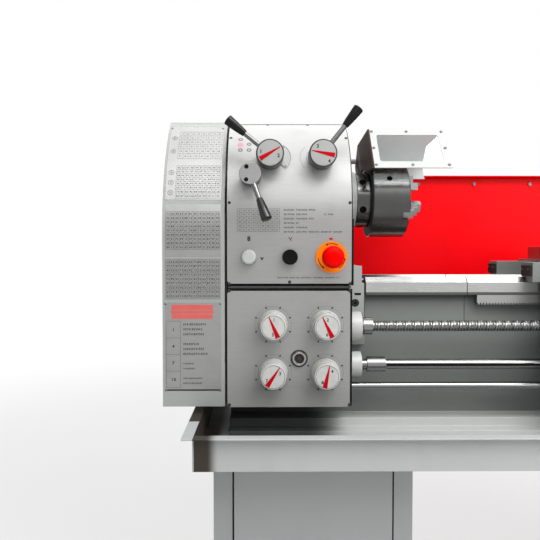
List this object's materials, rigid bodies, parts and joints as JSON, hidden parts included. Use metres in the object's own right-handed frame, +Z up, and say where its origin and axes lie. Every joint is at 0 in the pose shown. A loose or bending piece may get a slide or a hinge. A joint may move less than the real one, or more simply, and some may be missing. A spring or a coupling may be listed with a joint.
{
  "type": "screw-cutting lathe",
  "caption": "Gap-bed engine lathe on cabinet stands with geared headstock, feed gearbox, chuck, carriage, tailstock, gear cover, chuck guard and splash guard.",
  "frame": {"origin": "on the floor at the centre of the outer anchor-bolt rectangle", "axes": "+X along the spindle from the headstock to the tailstock, +Y to the back, +Z up"},
  "size_m": [1.739, 0.6, 1.2414],
  "materials": {
    "grey_paint": "satin",
    "sheet_grey": "satin",
    "tray_grey": "satin",
    "brushed_plate": "brushed",
    "bed_iron": "satin",
    "steel": "ground",
    "dark_steel": "blackened",
    "chrome": "polished",
    "black_plastic": "gloss",
    "ivory_dial": "satin",
    "lamp_white": "gloss",
    "yellow": "satin",
    "red_plastic": "gloss",
    "red_paint": "gloss",
    "motor_paint": "satin",
    "belt": "matte"
  },
  "bodies": {
    "frame": {"cabinet_stands": "sheet_grey", "chip_tray": "tray_grey", "bed": "bed_iron", "gap_bridge": "bed_iron", "rack": "steel", "headstock_housing": "grey_paint", "headstock_lid": "grey_paint", "headstock_plate": "brushed_plate", "gearbox_housing": "grey_paint", "gearbox_plate": "brushed_plate", "panel_screws": "chrome", "signal_lamp": "lamp_white", "estop_collar": "yellow", "sight_glass": "chrome", "spindle_bearings": "steel", "splash_guard": "red_paint", "rod_bearings": "steel", "motor": "motor_paint", "drive_belts": "belt", "gear_quadrant": "bed_iron"},
    "spindle": {"spindle": "steel", "chuck_body": "steel"},
    "jaw_1": {"chuck_jaw_1": "steel"},
    "jaw_2": {"chuck_jaw_2": "steel"},
    "jaw_3": {"chuck_jaw_3": "steel"},
    "guard": {"chuck_guard": "grey_paint"},
    "cover": {"gear_cover": "grey_paint"},
    "left_dial": {"left_speed_dial": "ivory_dial"},
    "right_dial": {"right_speed_dial": "ivory_dial"},
    "feed_direction": {"feed_direction_lever": "chrome"},
    "jog": {"jog_button": "black_plastic"},
    "estop": {"estop_button": "red_plastic"},
    "knob_1": {"gearbox_knob_1": "ivory_dial"},
    "knob_2": {"gearbox_knob_2": "ivory_dial"},
    "knob_3": {"gearbox_knob_3": "ivory_dial"},
    "knob_4": {"gearbox_knob_4": "ivory_dial"},
    "leadscrew": {"leadscrew": "steel"},
    "feed_rod": {"feed_rod": "steel"},
    "control_rod": {"control_rod": "steel"},
    "stud_gear": {"stud_gear": "steel"},
    "idler_gear": {"idler_gear": "steel"},
    "input_gear": {"input_gear": "steel"},
    "input_shaft": {"input_shaft": "bed_iron"},
    "motor_pulley": {"motor_pulley": "bed_iron"},
    "carriage": {"saddle": "bed_iron", "apron": "grey_paint"},
    "carriage_wheel": {"carriage_handwheel": "chrome"},
    "nut_lever": {"half_nut_lever": "chrome"},
    "start_lever": {"start_lever": "chrome"},
    "cross_slide": {"cross_slide": "bed_iron"},
    "cross_screw": {"cross_screw": "chrome"},
    "compound_base": {"compound_base": "bed_iron"},
    "compound_slide": {"compound_slide": "bed_iron"},
    "compound_screw": {"compound_screw": "chrome"},
    "tool_post": {"tool_post": "dark_steel"},
    "tool_post_lever": {"tool_post_lever": "chrome"},
    "tailstock": {"tailstock_body": "grey_paint"},
    "quill": {"tailstock_quill": "steel"},
    "tailstock_wheel": {"tailstock_handwheel": "chrome"},
    "quill_lock": {"quill_lock": "chrome"}
  },
  "joints": [
    {"name": "spindle_spin", "type": "hinge", "parent": "frame", "child": "spindle", "pos_m": [0, 0, 1.08], "axis": [1, 0, 0], "continuous": true},
    {"name": "jaw_1_slide", "type": "slide", "parent": "spindle", "child": "jaw_1", "axis": [0, 0, 1], "range_m": [-0.012, 0.01]},
    {"name": "jaw_2_slide", "type": "slide", "parent": "spindle", "child": "jaw_2", "axis": [0, -0.866, -0.5], "range_m": [-0.012, 0.01]},
    {"name": "jaw_3_slide", "type": "slide", "parent": "spindle", "child": "jaw_3", "axis": [0, 0.866, -0.5], "range_m": [-0.012, 0.01]},
    {"name": "guard_lift", "type": "hinge", "parent": "frame", "child": "guard", "pos_m": [0, 0.093, 1.18], "axis": [-1, 0, 0], "range_deg": [0, 88]},
    {"name": "cover_swing", "type": "hinge", "parent": "frame", "child": "cover", "pos_m": [-0.77, 0.262, 1.08], "axis": [0, 0, -1], "range_deg": [0, 100]},
    {"name": "left_dial_turn", "type": "hinge", "parent": "frame", "child": "left_dial", "pos_m": [-0.6925, -0.18, 1.1495], "axis": [0, -1, 0], "range_deg": [-40, 40]},
    {"name": "right_dial_turn", "type": "hinge", "parent": "frame", "child": "right_dial", "pos_m": [-0.594, -0.18, 1.1495], "axis": [0, -1, 0], "range_deg": [-40, 40]},
    {"name": "feed_direction_turn", "type": "hinge", "parent": "frame", "child": "feed_direction", "pos_m": [-0.729, -0.18, 1.109], "axis": [0, -1, 0], "range_deg": [-30, 30]},
    {"name": "jog_press", "type": "slide", "parent": "frame", "child": "jog", "axis": [0, 1, 0], "range_m": [0, 0.003], "stiffness_N_per_m": 600, "springref_m": -0.001},
    {"name": "estop_press", "type": "slide", "parent": "frame", "child": "estop", "axis": [0, 1, 0], "range_m": [0, 0.005]},
    {"name": "knob_1_turn", "type": "hinge", "parent": "frame", "child": "knob_1", "pos_m": [-0.6865, -0.18, 0.828], "axis": [0, -1, 0], "continuous": true},
    {"name": "knob_2_turn", "type": "hinge", "parent": "frame", "child": "knob_2", "pos_m": [-0.587, -0.18, 0.828], "axis": [0, -1, 0], "continuous": true},
    {"name": "knob_3_turn", "type": "hinge", "parent": "frame", "child": "knob_3", "pos_m": [-0.6865, -0.18, 0.736], "axis": [0, -1, 0], "continuous": true},
    {"name": "knob_4_turn", "type": "hinge", "parent": "frame", "child": "knob_4", "pos_m": [-0.587, -0.18, 0.736], "axis": [0, -1, 0], "continuous": true},
    {"name": "leadscrew_spin", "type": "hinge", "parent": "frame", "child": "leadscrew", "pos_m": [0, -0.135, 0.82], "axis": [1, 0, 0], "continuous": true},
    {"name": "feed_rod_spin", "type": "hinge", "parent": "frame", "child": "feed_rod", "pos_m": [0, -0.135, 0.744], "axis": [1, 0, 0], "continuous": true},
    {"name": "control_rod_turn", "type": "hinge", "parent": "frame", "child": "control_rod", "pos_m": [0, -0.135, 0.7], "axis": [1, 0, 0], "range_deg": [-20, 20]},
    {"name": "stud_spin", "type": "hinge", "parent": "frame", "child": "stud_gear", "pos_m": [-0.773, -0.09, 0.96], "axis": [1, 0, 0], "continuous": true},
    {"name": "idler_spin", "type": "hinge", "parent": "frame", "child": "idler_gear", "pos_m": [-0.773, -0.10758, 0.88966], "axis": [1, 0, 0], "continuous": true},
    {"name": "input_gear_spin", "type": "hinge", "parent": "frame", "child": "input_gear", "pos_m": [-0.773, -0.13, 0.79992], "axis": [1, 0, 0], "continuous": true},
    {"name": "input_shaft_spin", "type": "hinge", "parent": "frame", "child": "input_shaft", "pos_m": [-0.773, 0.08, 1.01046], "axis": [1, 0, 0], "continuous": true},
    {"name": "motor_pulley_spin", "type": "hinge", "parent": "frame", "child": "motor_pulley", "pos_m": [-0.773, 0.182, 0.77], "axis": [1, 0, 0], "continuous": true},
    {"name": "carriage_slide", "type": "slide", "parent": "frame", "child": "carriage", "axis": [1, 0, 0], "range_m": [-0.2, 0.3]},
    {"name": "carriage_wheel_turn", "type": "hinge", "parent": "carriage", "child": "carriage_wheel", "pos_m": [-0.072, -0.2, 0.772], "axis": [0, 1, 0], "range_deg": [-3660, 5460]},
    {"name": "nut_lever_turn", "type": "hinge", "parent": "carriage", "child": "nut_lever", "pos_m": [0.075, -0.2, 0.8], "axis": [0, 1, 0], "range_deg": [0, 60]},
    {"name": "start_lever_turn", "type": "hinge", "parent": "carriage", "child": "start_lever", "pos_m": [0.14, -0.135, 0.7], "axis": [1, 0, 0], "range_deg": [-20, 20]},
    {"name": "cross_slide_move", "type": "slide", "parent": "carriage", "child": "cross_slide", "axis": [0, -1, 0], "range_m": [-0.05, 0.06]},
    {"name": "cross_screw_turn", "type": "hinge", "parent": "carriage", "child": "cross_screw", "pos_m": [0, -0.204, 0.93], "axis": [0, -1, 0], "range_deg": [-4510, 5410]},
    {"name": "compound_swivel", "type": "hinge", "parent": "cross_slide", "child": "compound_base", "pos_m": [0, -0.08, 0.98], "axis": [0, 0, -1], "range_deg": [-30, 45]},
    {"name": "compound_slide_move", "type": "slide", "parent": "compound_base", "child": "compound_slide", "axis": [1, 0, 0], "range_m": [-0.035, 0.018]},
    {"name": "compound_screw_turn", "type": "hinge", "parent": "compound_base", "child": "compound_screw", "pos_m": [0.097, -0.08, 1.0279], "axis": [1, 0, 0], "range_deg": [-3160, 1630]},
    {"name": "tool_post_turn", "type": "hinge", "parent": "compound_slide", "child": "tool_post", "pos_m": [-0.045, -0.08, 1.05], "axis": [0, 0, 1], "continuous": true},
    {"name": "tool_post_lever_turn", "type": "hinge", "parent": "compound_slide", "child": "tool_post_lever", "pos_m": [-0.045, -0.08, 1.12], "axis": [0, 0, 1], "range_deg": [-45, 45]},
    {"name": "tailstock_slide", "type": "slide", "parent": "frame", "child": "tailstock", "axis": [1, 0, 0], "range_m": [-0.2, 0]},
    {"name": "tailstock_wheel_turn", "type": "hinge", "parent": "tailstock", "child": "tailstock_wheel", "pos_m": [0.735, 0, 1.08], "axis": [-1, 0, 0], "range_deg": [0, 6480]},
    {"name": "quill_move", "type": "slide", "parent": "tailstock", "child": "quill", "axis": [-1, 0, 0], "range_m": [-0.0001, 0.0901]},
    {"name": "quill_lock_turn", "type": "hinge", "parent": "tailstock", "child": "quill_lock", "pos_m": [0.575, 0, 1.13], "axis": [0, 0, 1], "range_deg": [-40, 40]}
  ],
  "couplings": [
    {"joint": "jaw_2_slide", "follows": "jaw_1_slide", "ratio": 1},
    {"joint": "jaw_3_slide", "follows": "jaw_1_slide", "ratio": 1},
    {"joint": "stud_spin", "follows": "spindle_spin", "ratio": 1},
    {"joint": "idler_spin", "follows": "spindle_spin", "ratio": -0.38095},
    {"joint": "input_gear_spin", "follows": "spindle_spin", "ratio": 0.5},
    {"joint": "leadscrew_spin", "follows": "spindle_spin", "ratio": 0.5},
    {"joint": "feed_rod_spin", "follows": "spindle_spin", "ratio": 0.25},
    {"joint": "input_shaft_spin", "follows": "spindle_spin", "ratio": -2.0286},
    {"joint": "motor_pulley_spin", "follows": "spindle_spin", "ratio": -4.1314},
    {"joint": "start_lever_turn", "follows": "control_rod_turn", "ratio": 1},
    {"joint": "carriage_wheel_turn", "follows": "carriage_slide", "rad_per_m": 314.16},
    {"joint": "cross_screw_turn", "follows": "cross_slide_move", "rad_per_m": 1570.8},
    {"joint": "compound_screw_turn", "follows": "compound_slide_move", "rad_per_m": 1570.8},
    {"joint": "quill_move", "follows": "tailstock_wheel_turn", "m_per_rad": 0.00079577}
  ]
}
